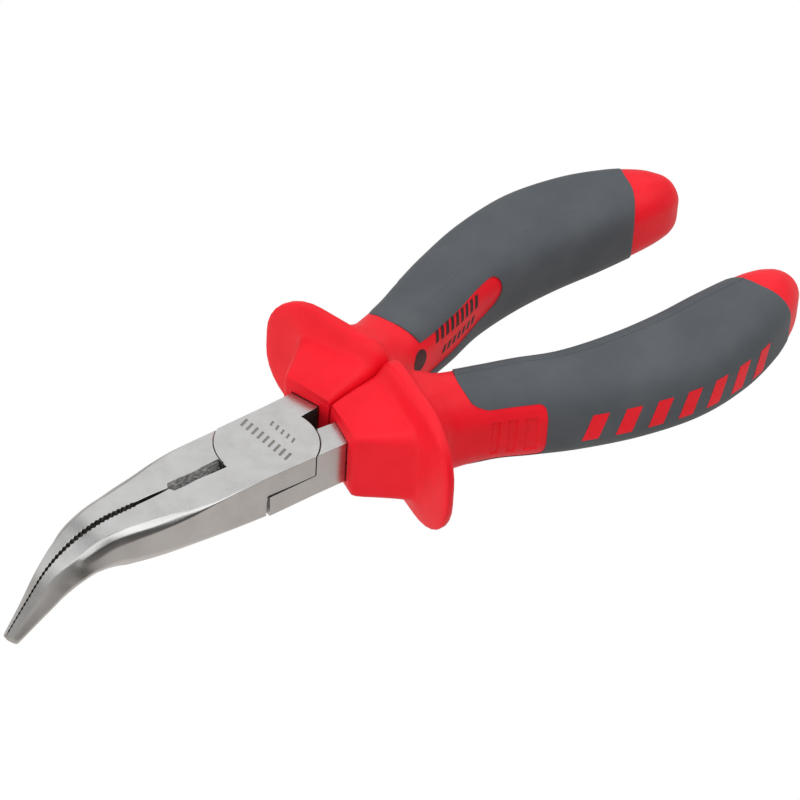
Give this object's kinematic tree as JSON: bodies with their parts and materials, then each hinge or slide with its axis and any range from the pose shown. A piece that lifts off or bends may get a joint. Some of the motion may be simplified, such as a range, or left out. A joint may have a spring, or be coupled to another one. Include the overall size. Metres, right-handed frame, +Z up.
{
  "type": "needle nose pliers",
  "caption": "Bent long-nose pliers with a lap joint, side cutters, toothed jaws and two-colour handles with hand guards.",
  "frame": {"origin": "on the pivot axis, at the lower flat face of the joint", "axes": "+X from the pivot towards the handle ends, +Y across towards the handle of the upper half, +Z up along the pivot axis"},
  "size_m": [0.16, 0.06, 0.0265],
  "materials": {
    "satin_steel": "satin ground steel with a faint grain",
    "hard_sleeve": "red moulded plastic, semi-matt",
    "soft_grip": "dark grey soft overmould, matt"
  },
  "bodies": {
    "upper": {"upper_half": "satin_steel", "pivot_rivet": "satin_steel", "guard_sleeve_left": "hard_sleeve", "soft_grip_left": "soft_grip"},
    "lower": {"lower_half": "satin_steel", "guard_sleeve_right": "hard_sleeve", "soft_grip_right": "soft_grip"}
  },
  "joints": [
    {"name": "pivot", "type": "hinge", "parent": "upper", "child": "lower", "pos_m": [0, 0, 0], "axis": [0, 0, -1], "range_deg": [0, 45]}
  ]
}
